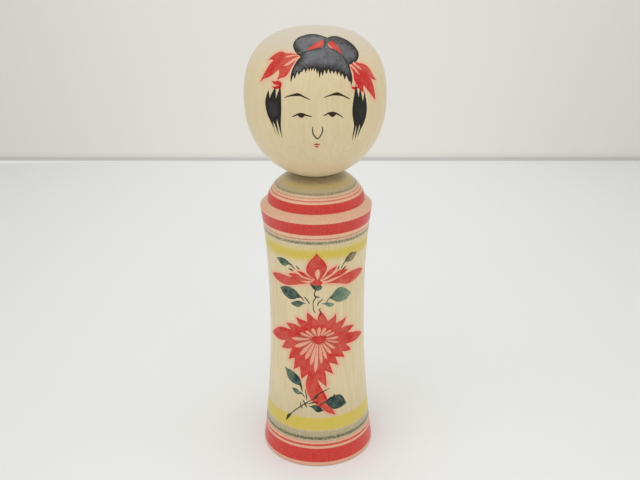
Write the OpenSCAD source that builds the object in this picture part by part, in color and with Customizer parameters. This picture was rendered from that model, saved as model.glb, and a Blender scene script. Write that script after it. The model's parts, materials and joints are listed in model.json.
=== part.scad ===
// Turned wooden doll in two pieces: a waisted body with a domed shoulder, and a
// round head whose own neck tenon snaps into a socket in the dome, so that the
// head turns on the body. Both pieces are turned about the vertical axis.
// The origin is the centre of the base, +Z is up, and the face looks along -Y.

/* [Body] */
// Diameter of the base at the floor
base_d = 64.2; // [56:0.2:84]
// Diameter of the body at its narrowest place
waist_d = 53; // [44:0.2:55.8]
// Diameter of the body at the shoulder rim
shoulder_d = 60.6; // [56:0.2:80]
// Height of the shoulder rim above the floor
body_h = 149; // [110:0.5:200]
// Height of the narrowest place above the floor
waist_h = 82; // [50:0.5:100]
// How sharply the flank flares towards the base (exponent)
foot_flare = 1.85; // [1.4:0.05:3]
// How sharply the flank flares towards the shoulder (exponent)
shoulder_flare = 2.7; // [1.4:0.05:4]
// Radius that softens the base edge
foot_round = 1.2; // [0.4:0.1:3]
// Radius that softens the shoulder rim
shoulder_round = 0.8; // [0.4:0.1:2]

/* [Dome] */
// Diameter of the dome where it rises from the sloping ledge
dome_d = 52.6; // [42:0.2:54]
// Rise of the sloping ledge between the shoulder rim and the dome
ledge_rise = 2.2; // [0.6:0.1:5]
// Height that the dome would have if its top were not flattened
dome_h = 18.2; // [12:0.2:28]
// Fullness of the dome's side (exponent)
dome_side = 1.84; // [1.5:0.02:3]
// Fullness of the dome's top (exponent)
dome_top = 1.8; // [1.5:0.02:3]
// Diameter of the flat seat where the head meets the dome
seat_d = 24; // [23.4:0.2:36]

/* [Head] */
// Greatest diameter of the head
head_d = 73.4; // [56:0.2:96]
// Height of the crown above the widest place
crown_h = 35.8; // [24:0.2:50]
// Depth that the chin would reach below the widest place if it were not cut by the seat
chin_h = 41.2; // [28:0.2:56]
// Squareness of the head above its widest place (exponents of side and top)
crown_side = 2.51; // [1.8:0.01:3.5]
crown_top = 2.65; // [1.8:0.01:3.5]
// Squareness of the head below its widest place (exponents of side and bottom)
chin_side = 2.15; // [1.8:0.01:3]
chin_bottom = 1.96; // [1.8:0.01:3]

/* [Neck joint] */
// Diameter of the neck tenon
tenon_d = 20; // [14:0.2:20.4]
// Length of the plain tenon above its bulb
tenon_l = 10; // [6:0.5:20]
// How far the bulb stands out from the tenon, on the radius
bulb_step = 0.8; // [0.4:0.1:1.2]
// Height of the bulb, with the cone that leads into it and the cone at its tip
bulb_h = 14; // [10:0.5:24]
// Radial running clearance between the tenon and its bore
running_clearance = 0.05; // [0.02:0.01:0.1]
// Clearance all round the bulb in its chamber
chamber_clearance = 0.5; // [0.3:0.05:1]
// Gap between the head's underside and the seat
seat_gap = 0.3; // [0.3:0.05:1]

/* [Hidden] */

ROUND_STEPS = 6;            // points on each small rounding
CURVE_STEPS = 20;           // points on each long curve
WOOD = [0.87, 0.74, 0.55];

base_r = base_d / 2;
waist_r = waist_d / 2;
shoulder_r = shoulder_d / 2;
dome_r = dome_d / 2;
seat_r = seat_d / 2;
head_r = head_d / 2;
tenon_r = tenon_d / 2;

ledge_z = body_h + ledge_rise;
seat_z = ledge_z + dome_h * superellipse(seat_r / dome_r, dome_top, dome_side);
underside_z = seat_z + seat_gap;
chin_cut = superellipse(seat_r / head_r, chin_bottom, chin_side);
head_z = underside_z + chin_h * chin_cut;

bulb_r = tenon_r + bulb_step;
bulb_cone = 2.5 * bulb_step;     // height of the cone between tenon and bulb
tip_r = tenon_r - bulb_step;     // radius of the tenon's blunt tip
bulb_top_z = underside_z - tenon_l;
tip_z = bulb_top_z - bulb_h;

bore_r = tenon_r + running_clearance;
chamber_r = bulb_r + chamber_clearance;
chamber_top_z = bulb_top_z + chamber_clearance;
chamber_floor_z = tip_z - chamber_clearance;

// One coordinate of a superellipse of unit size, from the other one
function superellipse(u, power_u, power_v) = pow(1 - pow(u, power_u), 1 / power_v);

// Radius of the body's flank at a height between the floor and the shoulder rim
function flank_r(z) = z < waist_h
    ? waist_r + (base_r - waist_r) * pow(1 - z / waist_h, foot_flare)
    : waist_r + (shoulder_r - waist_r) * pow((z - waist_h) / (body_h - waist_h), shoulder_flare);

// Quarter round that leads from the flat base into the flank
function foot_points() = [
    for (i = [0 : ROUND_STEPS])
        let (a = 90 * i / ROUND_STEPS)
        [flank_r(foot_round) - foot_round * (1 - sin(a)), foot_round * (1 - cos(a))]
];

// Flank between the two small roundings
function flank_points() = [
    for (i = [1 : 2 * CURVE_STEPS - 1])
        let (z = foot_round + (body_h - foot_round - shoulder_round) * i / (2 * CURVE_STEPS))
        [flank_r(z), z]
];

// Rounding of the shoulder rim, which ends where the ledge slopes away
function rim_points() =
    let (
        z = body_h - shoulder_round,
        r = flank_r(z) - shoulder_round,
        slope = atan2(r - dome_r, ledge_rise)
    ) [
        for (i = [0 : ROUND_STEPS])
            let (a = slope * i / ROUND_STEPS)
            [r + shoulder_round * cos(a), z + shoulder_round * sin(a)]
    ];

// Dome from the ledge to the flat seat
function dome_points() =
    let (top = (seat_z - ledge_z) / dome_h) [
        for (i = [0 : CURVE_STEPS])
            let (s = top * i / CURVE_STEPS)
            [dome_r * superellipse(s, dome_side, dome_top), ledge_z + dome_h * s]
    ];

// Head below its widest place, from the seat upwards
function chin_points() = [
    for (i = [0 : CURVE_STEPS - 1])
        let (s = chin_cut * (1 - i / CURVE_STEPS))
        [head_r * superellipse(s, chin_side, chin_bottom), head_z - chin_h * s]
];

// Head from its widest place to the middle of the crown
function crown_points() = [
    for (i = [0 : CURVE_STEPS])
        let (s = sin(90 * i / CURVE_STEPS))
        [head_r * superellipse(s, crown_side, crown_top), head_z + crown_h * s]
];

// Undercut socket: a plain bore at the mouth and a wider chamber for the bulb
module socket() {
    rotate_extrude($fn = 96) polygon([
        [0, chamber_floor_z],
        [chamber_r, chamber_floor_z],
        [chamber_r, chamber_top_z - bulb_cone],
        [bore_r, chamber_top_z],
        [bore_r, seat_z + seat_gap],
        [0, seat_z + seat_gap]
    ]);
}

module body() {
    color(WOOD) difference() {
        rotate_extrude($fn = 128) polygon(concat(
            [[0, 0]],
            foot_points(),
            flank_points(),
            rim_points(),
            dome_points(),
            [[0, seat_z]]
        ));
        socket();
    }
}

module head() {
    color(WOOD) rotate_extrude($fn = 128) polygon(concat(
        [
            [0, tip_z],
            [tip_r, tip_z],
            [bulb_r, tip_z + bulb_cone],
            [bulb_r, bulb_top_z - bulb_cone],
            [tenon_r, bulb_top_z],
            [tenon_r, underside_z]
        ],
        chin_points(),
        crown_points()
    ));
}

body();
head();
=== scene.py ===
"""A turned and painted kokeshi doll: waxed wood body and head, lathe rings, painted hair, face and flowers."""
import json
import math

import bpy
import numpy as np
from bpy.props import FloatProperty, FloatVectorProperty, IntProperty, PointerProperty
from mathutils import Matrix, Vector
from mathutils.bvhtree import BVHTree

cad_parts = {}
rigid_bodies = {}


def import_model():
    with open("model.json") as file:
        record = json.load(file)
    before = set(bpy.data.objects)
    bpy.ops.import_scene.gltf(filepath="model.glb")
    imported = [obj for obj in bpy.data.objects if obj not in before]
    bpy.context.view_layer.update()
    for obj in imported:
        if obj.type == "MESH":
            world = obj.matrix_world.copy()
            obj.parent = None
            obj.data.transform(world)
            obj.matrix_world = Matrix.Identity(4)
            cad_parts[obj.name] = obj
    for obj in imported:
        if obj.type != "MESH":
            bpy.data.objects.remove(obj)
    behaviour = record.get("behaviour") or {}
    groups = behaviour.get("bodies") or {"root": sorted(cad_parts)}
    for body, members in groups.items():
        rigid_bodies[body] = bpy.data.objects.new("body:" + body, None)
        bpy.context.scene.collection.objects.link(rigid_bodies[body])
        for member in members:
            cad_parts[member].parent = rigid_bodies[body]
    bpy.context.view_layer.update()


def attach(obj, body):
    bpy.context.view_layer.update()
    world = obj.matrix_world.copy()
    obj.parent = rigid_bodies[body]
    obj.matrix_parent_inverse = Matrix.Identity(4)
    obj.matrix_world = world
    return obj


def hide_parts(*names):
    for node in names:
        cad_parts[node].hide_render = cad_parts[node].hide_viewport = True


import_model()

bl_info = {
    "name": "Painted kokeshi doll",
    "version": (1, 0, 0),
    "blender": (4, 5, 0),
    "location": "View3D > Sidebar > Kokeshi",
    "description": "Turns, paints and lights a wooden kokeshi doll",
    "category": "Add Mesh",
}

MM = 0.001
IN_MM = (1000, 1000, 1000)  # scales a place in metres to millimetres
MERGE_DISTANCE = 0.004 * MM
WOOD_SMOOTH_ANGLE = math.radians(32)
FILM_SMOOTH_ANGLE = math.radians(40)
CONE_SLOPE = 2.5  # height of the bulb's cones over their step
BOARD_DISTANCE = 0.06  # from the doll's axis to the upright plane where the paint is drawn
BODY_PITH, HEAD_PITH = (22.0, 74.0, 0.0), (-30.0, 46.0, 0.0)  # middle of the tree, in mm
CORNER = True  # third value of an outline point where the brush turned sharply


def srgb(red, green, blue):
    """Linear colour from 8-bit display values."""
    def linear(value):
        value /= 255
        return value / 12.92 if value <= 0.04045 else ((value + 0.055) / 1.055) ** 2.4
    return linear(red), linear(green), linear(blue)


def length(name, description, default):
    return FloatProperty(name=name, description=description, default=default * MM, unit="LENGTH", precision=5)


def amount(name, description, default, low=0.0, high=10.0):
    return FloatProperty(name=name, description=description, default=default, min=low, max=high)


def turn(name, description, default):
    return FloatProperty(name=name, description=description, default=math.radians(default), subtype="ANGLE")


def colour(name, description, default):
    return FloatVectorProperty(
        name=name, description=description, default=default, subtype="COLOR", min=0, max=1)


# ---------------------------------------------------------------- settings


class KokeshiTurning(bpy.types.PropertyGroup):
    """Sizes of the two turned pieces"""

    base_d: length("Base diameter", "Diameter of the base at the floor", 64.2)
    waist_d: length("Waist diameter", "Diameter of the body at its narrowest place", 53)
    shoulder_d: length("Shoulder diameter", "Diameter of the body at the shoulder rim", 60.6)
    body_h: length("Body height", "Height of the shoulder rim", 149)
    waist_h: length("Waist height", "Height of the narrowest place", 82)
    foot_flare: amount("Foot flare", "How sharply the flank flares towards the base", 1.85)
    shoulder_flare: amount("Shoulder flare", "How sharply the flank flares towards the shoulder", 2.7)
    foot_round: length("Foot rounding", "Radius that softens the base edge", 1.2)
    shoulder_round: length("Shoulder rounding", "Radius that softens the shoulder rim", 0.8)
    dome_d: length("Dome diameter", "Diameter of the dome where it rises from the ledge", 52.6)
    ledge_rise: length("Ledge rise", "Rise of the sloping ledge below the dome", 2.2)
    dome_h: length("Dome height", "Height of the dome if its top were not flattened", 18.2)
    dome_side: amount("Dome side", "Fullness of the dome's side", 1.84)
    dome_top: amount("Dome top", "Fullness of the dome's top", 1.8)
    seat_d: length("Seat diameter", "Diameter of the flat seat below the head", 24)
    head_d: length("Head diameter", "Greatest diameter of the head", 73.4)
    crown_h: length("Crown height", "Height of the crown above the widest place", 35.8)
    chin_h: length("Chin depth", "Depth of the chin below the widest place if uncut", 41.2)
    crown_side: amount("Crown side", "Squareness of the head's upper side", 2.51)
    crown_top: amount("Crown top", "Squareness of the crown", 2.65)
    chin_side: amount("Chin side", "Squareness of the head's lower side", 2.15)
    chin_bottom: amount("Chin bottom", "Squareness of the chin", 1.96)
    tenon_d: length("Tenon diameter", "Diameter of the neck tenon", 20)
    tenon_l: length("Tenon length", "Length of the plain tenon above its bulb", 10)
    bulb_step: length("Bulb step", "How far the bulb stands out from the tenon", 0.8)
    bulb_h: length("Bulb height", "Height of the bulb with both its cones", 14)
    running_clearance: length("Running clearance", "Radial clearance of the tenon in its bore", 0.05)
    chamber_clearance: length("Chamber clearance", "Clearance round the bulb", 0.5)
    seat_gap: length("Seat gap", "Gap between the head and the seat", 0.3)
    around: IntProperty(name="Facets around", description="Faces around each piece", default=300, min=64)
    row: length("Row spacing", "Spacing of the rows of faces along the profile", 0.85)


class KokeshiColours(bpy.types.PropertyGroup):
    """Colours of the wood and of the paints"""

    wood_pale: colour("Pale wood", "Early wood of the pale, close-grained timber", srgb(239, 222, 183))
    wood_deep: colour("Deep wood", "Late wood in the growth rings", srgb(212, 189, 142))
    # Painted sheen: the grey that the head takes towards its crown, in place of the room's reflection at grazing
    # angles
    crown_sheen: colour("Painted_sheen", "Wood greyed by dust and handling on the crown", srgb(204, 199, 190))
    red: colour("Red", "Red dye of the petals, ribbons and bands", srgb(206, 16, 4))
    red_thin: colour("Thin red", "Red dye where the brush ran dry", srgb(216, 106, 86))
    blush: colour("Blush", "Wood stained by dye that crept from the red", srgb(243, 163, 136))
    leaf: colour("Leaf", "Blue-green of the leaves", srgb(10, 46, 46))
    leaf_thin: colour("Thin leaf", "Leaf green where it was thinned with water", srgb(136, 158, 128))
    ink: colour("Ink", "Black ink of the locks", srgb(24, 18, 10))
    ink_thin: colour("Thin ink", "Black ink thinned to grey in the bun", srgb(114, 115, 118))
    line: colour("Line", "Brown-black ink of the face", srgb(44, 28, 6))
    # This brown also darkens some of the lathe rings as painted shade
    stem_and_shade: colour("Stem", "Brown-green ink of the stems", srgb(44, 36, 10))
    yellow: colour("Yellow", "Yellow of the wide soft bands", srgb(214, 190, 46))
    moss: colour("Moss", "Green of the narrow rings", srgb(52, 66, 40))
    lip: colour("Lip", "Dull red of the mouth", srgb(142, 48, 38))


class KokeshiStage(bpy.types.PropertyGroup):
    """Camera, lights and backdrop"""

    lens: FloatProperty(name="Lens", description="Focal length in mm", default=51.55, unit="CAMERA")
    eye_height: length("Eye height", "Height of the camera above the floor", 320.75)
    eye_distance: length("Eye distance", "Distance of the camera in front of the doll's axis", 464)
    tilt: turn("Tilt", "How far the camera looks down", 22.73)
    roll: turn("Roll", "Turn of the camera about its line of sight", -0.479)
    wall_distance: length("Wall distance", "Distance of the wall behind the doll's axis", 538.5)
    wall_turn: turn("Wall turn", "Turn of the wall seen from above", -1.6)
    # The gap is a grey strip, a painted shadow along the foot of the wall
    gap: length("Gap height", "Height of the thin shaded gap below the wall", 2.6)
    daylight: amount("Daylight", "Strength of the light from all round", 0.735)
    lamp_power: amount("Lamp power", "Scales the power of all the soft lamps", 1.0, 0, 50)


def turning():
    return bpy.context.scene.kokeshi_turning


def colours():
    return bpy.context.scene.kokeshi_colours


def stage_settings():
    return bpy.context.scene.kokeshi_stage


# ---------------------------------------------------------------- modelling


def deselect_all():
    if bpy.context.object and bpy.context.object.mode != "OBJECT":
        bpy.ops.object.mode_set(mode="OBJECT")
    bpy.ops.object.select_all(action="DESELECT")


def only(obj):
    deselect_all()
    obj.select_set(True)
    bpy.context.view_layer.objects.active = obj
    return obj


def curve_to_mesh(name, points, closed, flat=True):
    """A mesh from a smooth curve through (x, z) points, upright in the plane y = 0."""
    data = bpy.data.curves.new(name, "CURVE")
    data.dimensions = "2D" if flat else "3D"
    data.fill_mode = "BOTH" if flat else "FULL"
    data.resolution_u = 7 if flat else 1
    spline = data.splines.new("BEZIER")
    spline.bezier_points.add(len(points) - 1)
    for knot, point in zip(spline.bezier_points, points):
        knot.co = (point[0], point[1], 0) if flat else (point[0], 0, point[1])
        corner = len(point) > 2 or not flat
        knot.handle_left_type = knot.handle_right_type = "VECTOR" if corner else "AUTO"
    spline.use_cyclic_u = closed
    obj = bpy.data.objects.new(name, data)
    bpy.context.collection.objects.link(obj)
    only(obj)
    if flat:
        obj.rotation_euler = (math.pi / 2, 0, 0)
    bpy.ops.object.convert(target="MESH")
    obj = bpy.context.object
    bpy.ops.object.transform_apply(location=True, rotation=True, scale=True)
    return obj


def finish_modifier(obj, kind, **settings):
    """Adds a modifier with these settings, and applies it."""
    only(obj)
    bpy.ops.object.modifier_add(type=kind)
    modifier = obj.modifiers[-1]
    for key, value in settings.items():
        setattr(modifier, key, value)
    bpy.ops.object.modifier_apply(modifier=modifier.name)


def resample(points, step):
    """Adds points to a polyline, so that none are further apart than step, and keeps its own."""
    dense = [points[0]]
    for start, end in zip(points, points[1:]):
        pieces = max(1, math.ceil(math.dist(start, end) / step))
        dense += [
            (start[0] + (end[0] - start[0]) * i / pieces, start[1] + (end[1] - start[1]) * i / pieces)
            for i in range(1, pieces + 1)
        ]
    return dense


def turned(name, profile):
    """Spins an (r, z) profile, which starts and ends on the axis, into a closed turned piece."""
    sizes = turning()
    obj = curve_to_mesh(name, resample(profile, sizes.row), closed=False, flat=False)
    bpy.ops.object.mode_set(mode="EDIT")
    bpy.ops.mesh.select_all(action="SELECT")
    bpy.ops.mesh.spin(steps=sizes.around, angle=2 * math.pi, center=(0, 0, 0), axis=(0, 0, 1))
    bpy.ops.mesh.select_all(action="SELECT")
    bpy.ops.mesh.remove_doubles(threshold=MERGE_DISTANCE)
    bpy.ops.mesh.select_all(action="SELECT")
    bpy.ops.mesh.normals_make_consistent(inside=False)
    bpy.ops.object.mode_set(mode="OBJECT")
    bpy.ops.object.shade_smooth_by_angle(angle=WOOD_SMOOTH_ANGLE)
    return obj


def superellipse(u, power_u, power_v):
    """One coordinate of a superellipse of unit size, from the other one."""
    return max(1 - u**power_u, 0) ** (1 / power_v)


def flank_r(z):
    """Radius of the body's flank at a height."""
    s = turning()
    if z < s.waist_h:
        return (s.waist_d + (s.base_d - s.waist_d) * (1 - z / s.waist_h) ** s.foot_flare) / 2
    rise = (z - s.waist_h) / (s.body_h - s.waist_h)
    return (s.waist_d + (s.shoulder_d - s.waist_d) * rise**s.shoulder_flare) / 2


def neck_heights():
    """Heights of the seat, of the head's underside and of the head's widest place."""
    s = turning()
    seat = s.body_h + s.ledge_rise + s.dome_h * superellipse(s.seat_d / s.dome_d, s.dome_top, s.dome_side)
    underside = seat + s.seat_gap
    cut = superellipse(s.seat_d / s.head_d, s.chin_bottom, s.chin_side)
    return seat, underside, underside + s.chin_h * cut, cut


def steps(count, first=0):
    return [i / count for i in range(first, count + 1)]


def body_profile():
    s = turning()
    seat, underside, _, _ = neck_heights()
    ledge = s.body_h + s.ledge_rise
    foot_x = flank_r(s.foot_round) - s.foot_round
    rim_z = s.body_h - s.shoulder_round
    rim_x = flank_r(rim_z) - s.shoulder_round
    slope = math.atan2(rim_x - s.dome_d / 2, s.ledge_rise)
    points = [(0, 0)]
    for t in steps(6):
        angle = t * math.pi / 2
        points.append((foot_x + s.foot_round * math.sin(angle), s.foot_round * (1 - math.cos(angle))))
    for t in steps(90, 1)[:-1]:
        z = s.foot_round + (rim_z - s.foot_round) * t
        points.append((flank_r(z), z))
    for t in steps(6):
        angle = slope * t
        points.append((rim_x + s.shoulder_round * math.cos(angle), rim_z + s.shoulder_round * math.sin(angle)))
    top = (seat - ledge) / s.dome_h
    for t in steps(40):
        points.append((s.dome_d / 2 * superellipse(top * t, s.dome_side, s.dome_top), ledge + s.dome_h * top * t))
    bore = s.tenon_d / 2 + s.running_clearance
    chamber = s.tenon_d / 2 + s.bulb_step + s.chamber_clearance
    chamber_top = underside - s.tenon_l + s.chamber_clearance
    floor = underside - s.tenon_l - s.bulb_h - s.chamber_clearance
    return points + [
        (bore, seat), (bore, chamber_top), (chamber, chamber_top - CONE_SLOPE * s.bulb_step),
        (chamber, floor), (0, floor),
    ]


def head_profile():
    s = turning()
    _, underside, widest, cut = neck_heights()
    tenon, bulb = s.tenon_d / 2, s.tenon_d / 2 + s.bulb_step
    bulb_top = underside - s.tenon_l
    tip = bulb_top - s.bulb_h
    cone = CONE_SLOPE * s.bulb_step
    points = [
        (0, tip), (tenon - s.bulb_step, tip), (bulb, tip + cone), (bulb, bulb_top - cone),
        (tenon, bulb_top), (tenon, underside),
    ]
    for t in steps(60)[:-1]:
        depth = cut * (1 - t)
        points.append((s.head_d / 2 * superellipse(depth, s.chin_side, s.chin_bottom), widest - s.chin_h * depth))
    for t in steps(90):
        rise = math.sin(t * math.pi / 2)
        points.append((s.head_d / 2 * superellipse(rise, s.crown_side, s.crown_top), widest + s.crown_h * rise))
    return points


# ---------------------------------------------------------------- brushwork


def outline(*runs):
    """Points of a closed outline, from smooth runs that each start at a sharp corner."""
    return [(*point, CORNER) if point is run[0] else point for run in runs for point in run]


def sharp(*points):
    """Runs of one point each, for a jagged edge."""
    return [[point] for point in points]


def stroke(*points):
    """Outline of one brush stroke through (x, z, width) points."""
    left, right = [], []
    for i, (x, z, width) in enumerate(points):
        before, after = points[max(i - 1, 0)], points[min(i + 1, len(points) - 1)]
        along_x, along_z = after[0] - before[0], after[1] - before[1]
        size = math.hypot(along_x, along_z)
        side_x, side_z = -along_z / size * width / 2, along_x / size * width / 2
        left.append((x + side_x, z + side_z))
        right.append((x - side_x, z - side_z))
    for side in (left, right):
        side[0] += (CORNER,)
        side[-1] += (CORNER,)
    return left + right[::-1]


def edge_distance(vertices, outline):
    """Distance of each (x, z) vertex from a closed outline."""
    start = np.array(outline)
    end = np.roll(start, -1, axis=0)
    span = end - start
    best = np.full(len(vertices), np.inf)
    for a, d in zip(start, span):
        t = np.clip((vertices - a) @ d / max(d @ d, 1e-18), 0, 1)
        best = np.minimum(best, np.linalg.norm(vertices - a - t[:, None] * d, axis=1))
    return best


def set_attribute(obj, name, values):
    obj.data.attributes.new(name, "FLOAT", "POINT").data.foreach_set("value", np.asarray(values, dtype=np.float32))


def film(name, outline, wood, lift, tone=0.0, cell=0.8):
    """Draws one closed outline (mm) in front of the doll, and lays it on the wood as a thin film of paint.

    lift is half the film's thickness in mm, and tone is one value or the values at its left and right ends.
    """
    obj = curve_to_mesh(name, [(x * MM, z * MM, *corner) for x, z, *corner in outline], closed=True)
    drawn = np.array([v.co for v in obj.data.vertices])[:, ::2]
    low, high = drawn.min(axis=0), drawn.max(axis=0)
    bpy.ops.object.mode_set(mode="EDIT")
    for axis, step in ((0, cell * MM), (2, 2 * cell * MM)):
        at = math.ceil(low[axis // 2] / step) * step
        normal = (1, 0, 0) if axis == 0 else (0, 0, 1)
        while at < high[axis // 2]:
            bpy.ops.mesh.select_all(action="SELECT")
            bpy.ops.mesh.bisect(plane_co=(at, 0, at), plane_no=normal)
            at += step
    bpy.ops.mesh.select_all(action="SELECT")
    bpy.ops.mesh.remove_doubles(threshold=MERGE_DISTANCE)
    bpy.ops.mesh.normals_make_consistent(inside=False)
    bpy.ops.object.mode_set(mode="OBJECT")
    flat = np.array([v.co for v in obj.data.vertices])[:, ::2]
    set_attribute(obj, "depth", edge_distance(flat, drawn) / MM)
    ends = (tone, tone) if isinstance(tone, (int, float)) else tone
    across = (flat[:, 0] - low[0]) / max(high[0] - low[0], 1e-9)
    set_attribute(obj, "tone", ends[0] + (ends[1] - ends[0]) * across)
    only(obj)
    bpy.ops.transform.translate(value=(0, -BOARD_DISTANCE, 0))
    bpy.ops.object.transform_apply(location=True, rotation=False, scale=False)
    finish_modifier(
        obj, "SHRINKWRAP", target=wood, wrap_method="PROJECT", use_project_y=True,
        use_negative_direction=False, use_positive_direction=True,
    )
    finish_modifier(obj, "SOLIDIFY", thickness=2 * lift * MM, offset=0)
    return obj


def joined(name, films, body, material):
    """Joins the films of one colour into one piece, which rides on a body."""
    deselect_all()
    for obj in films:
        obj.select_set(True)
    bpy.context.view_layer.objects.active = films[0]
    if len(films) > 1:
        bpy.ops.object.join()
    piece = bpy.context.object
    piece.name = piece.data.name = name
    only(piece)
    bpy.ops.object.shade_smooth_by_angle(angle=FILM_SMOOTH_ANGLE)
    piece.data.materials.clear()
    piece.data.materials.append(material)
    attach(piece, body)
    return piece


def painted(name, outlines, body, colour, lift, tones=(0.0,)):
    """One painted piece of one colour, from its outlines, which take the tones in turn."""
    wood = bpy.data.objects[f"{body}_wood"]
    films = [
        film(f"{name}_{i}", outline, wood, lift, tones[i % len(tones)]) for i, outline in enumerate(outlines)
    ]
    return joined(name, films, body, paint(colour))


def creep(wood, reaches):
    """Marks the wood near the red paint, where the dye crept into it, as {piece: reach in mm}."""
    vertices = np.empty(len(wood.data.vertices) * 3)
    wood.data.vertices.foreach_get("co", vertices)
    vertices = vertices.reshape(-1, 3)
    mark = np.zeros(len(vertices))
    depsgraph = bpy.context.evaluated_depsgraph_get()
    for name, reach in reaches.items():
        piece = bpy.data.objects[name]
        tree = BVHTree.FromObject(piece, depsgraph)
        corners = np.array([v.co for v in piece.data.vertices])
        low, high = corners.min(axis=0) - reach * MM, corners.max(axis=0) + reach * MM
        near = np.flatnonzero(((vertices > low) & (vertices < high)).all(axis=1))
        for i in near:
            hit = tree.find_nearest(vertices[i], reach * MM)
            if hit[0] is not None:
                mark[i] = max(mark[i], 1 - hit[3] / (reach * MM))
    set_attribute(wood, "creep", mark)


# ---------------------------------------------------------------- materials


class Wiring:
    """Adds nodes to a tree and links them."""

    def __init__(self, tree):
        self.tree = tree

    def node(self, kind, values=(), **settings):
        node = self.tree.nodes.new(kind)
        for key, value in settings.items():
            setattr(node, key, value)
        for socket, value in dict(values).items():
            self.feed(node.inputs[socket], value)
        return node

    def feed(self, socket, value):
        if isinstance(value, bpy.types.NodeSocket):
            self.tree.links.new(value, socket)
        elif socket.type == "RGBA" and len(value) == 3:
            socket.default_value = (*value, 1)
        else:
            socket.default_value = value

    def math(self, operation, a, b=0.0, c=0.0, clamp=False):
        node = self.tree.nodes.new("ShaderNodeMath")
        node.operation, node.use_clamp = operation, clamp
        for socket, value in zip(node.inputs, (a, b, c)):
            self.feed(socket, value)
        return node.outputs[0]

    def mix(self, factor, a, b, blend="MIX"):
        node = self.tree.nodes.new("ShaderNodeMix")
        node.data_type, node.blend_type = "RGBA", blend
        self.feed(node.inputs[0], factor)
        self.feed(node.inputs[6], a)
        self.feed(node.inputs[7], b)
        return node.outputs[2]

    def ramp(self, value, low, high, to_low=0.0, to_high=1.0, soft=True):
        node = self.node(
            "ShaderNodeMapRange",
            {"Value": value, "From Min": low, "From Max": high, "To Min": to_low, "To Max": to_high},
            interpolation_type="SMOOTHSTEP" if soft else "LINEAR",
        )
        return node.outputs[0]

    def scaled(self, vector, scale, offset=(0, 0, 0)):
        node = self.node("ShaderNodeVectorMath", operation="MULTIPLY_ADD")
        self.feed(node.inputs[0], vector)
        node.inputs[1].default_value, node.inputs[2].default_value = scale, offset
        return node.outputs[0]

    def noise(self, vector, scale=1.0, detail=2.0, rough=0.5, **settings):
        values = {"Scale": scale, "Detail": detail, "Roughness": rough}
        values["W" if settings.get("noise_dimensions") == "1D" else "Vector"] = vector
        return self.node("ShaderNodeTexNoise", values, **settings).outputs[0]

    def group(self, name, values):
        node = self.tree.nodes.new("ShaderNodeGroup")
        node.node_tree = bpy.data.node_groups[name]
        for socket, value in values.items():
            self.feed(node.inputs[socket], value)
        return node.outputs


def new_group(name, inputs, outputs):
    """An empty node group with these sockets, its input node's sockets and its output node."""
    tree = bpy.data.node_groups.new(name, "ShaderNodeTree")
    for label, kind in inputs:
        tree.interface.new_socket(label, in_out="INPUT", socket_type=f"NodeSocket{kind}")
    for label, kind in outputs:
        tree.interface.new_socket(label, in_out="OUTPUT", socket_type=f"NodeSocket{kind}")
    given = tree.nodes.new("NodeGroupInput").outputs
    return Wiring(tree), given, tree.nodes.new("NodeGroupOutput").inputs


def make_grain_group():
    """Straight, close grain: streaks along the timber, faint growth rings and slow changes of tone."""
    w, given, out = new_group(
        "Timber grain",
        [("Place", "Vector"), ("Pith", "Vector"), ("Ring spacing", "Float"), ("Contrast", "Float")],
        [("Shade", "Float"), ("Fibres", "Float")],
    )
    place = w.scaled(given["Place"], IN_MM)
    lean = w.noise(w.scaled(place, (0.02, 0.02, 0.006)), 1.0, 2.0)
    from_pith = w.node("ShaderNodeVectorMath", operation="SUBTRACT")
    w.feed(from_pith.inputs[0], w.scaled(place, (1, 1, 0)))
    w.feed(from_pith.inputs[1], given["Pith"])
    size = w.node("ShaderNodeVectorMath", operation="LENGTH")
    w.feed(size.inputs[0], from_pith.outputs[0])
    distance = w.math("MULTIPLY_ADD", lean, 8.0, size.outputs["Value"])
    across = w.math("DIVIDE", distance, given["Ring spacing"])
    rings = w.ramp(w.noise(across, 1.0, 3.0, 0.6, noise_dimensions="1D"), 0.34, 0.66)
    streaks = w.ramp(w.noise(w.scaled(place, (0.8, 0.8, 0.013)), 1.0, 4.0, 0.66), 0.32, 0.68)
    fibres = w.ramp(w.noise(w.scaled(place, (3.2, 3.2, 0.05)), 1.0, 3.0, 0.6), 0.3, 0.7)
    clouds = w.ramp(w.noise(w.scaled(place, (0.05, 0.05, 0.03)), 1.0, 2.0), 0.3, 0.7)
    pores = w.ramp(w.noise(w.scaled(place, (1.9, 1.9, 0.6)), 1.0, 1.0), 0.76, 0.82)
    shade = w.math("MULTIPLY", rings, 0.16)
    for part, weight in ((streaks, 0.40), (fibres, 0.20), (clouds, 0.24), (pores, 0.5)):
        shade = w.math("MULTIPLY_ADD", part, weight, shade)
    centred = w.math("SUBTRACT", shade, 0.5)
    w.feed(out["Shade"], w.math("MULTIPLY_ADD", centred, given["Contrast"], 0.5, clamp=True))
    w.feed(out["Fibres"], fibres)


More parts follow.
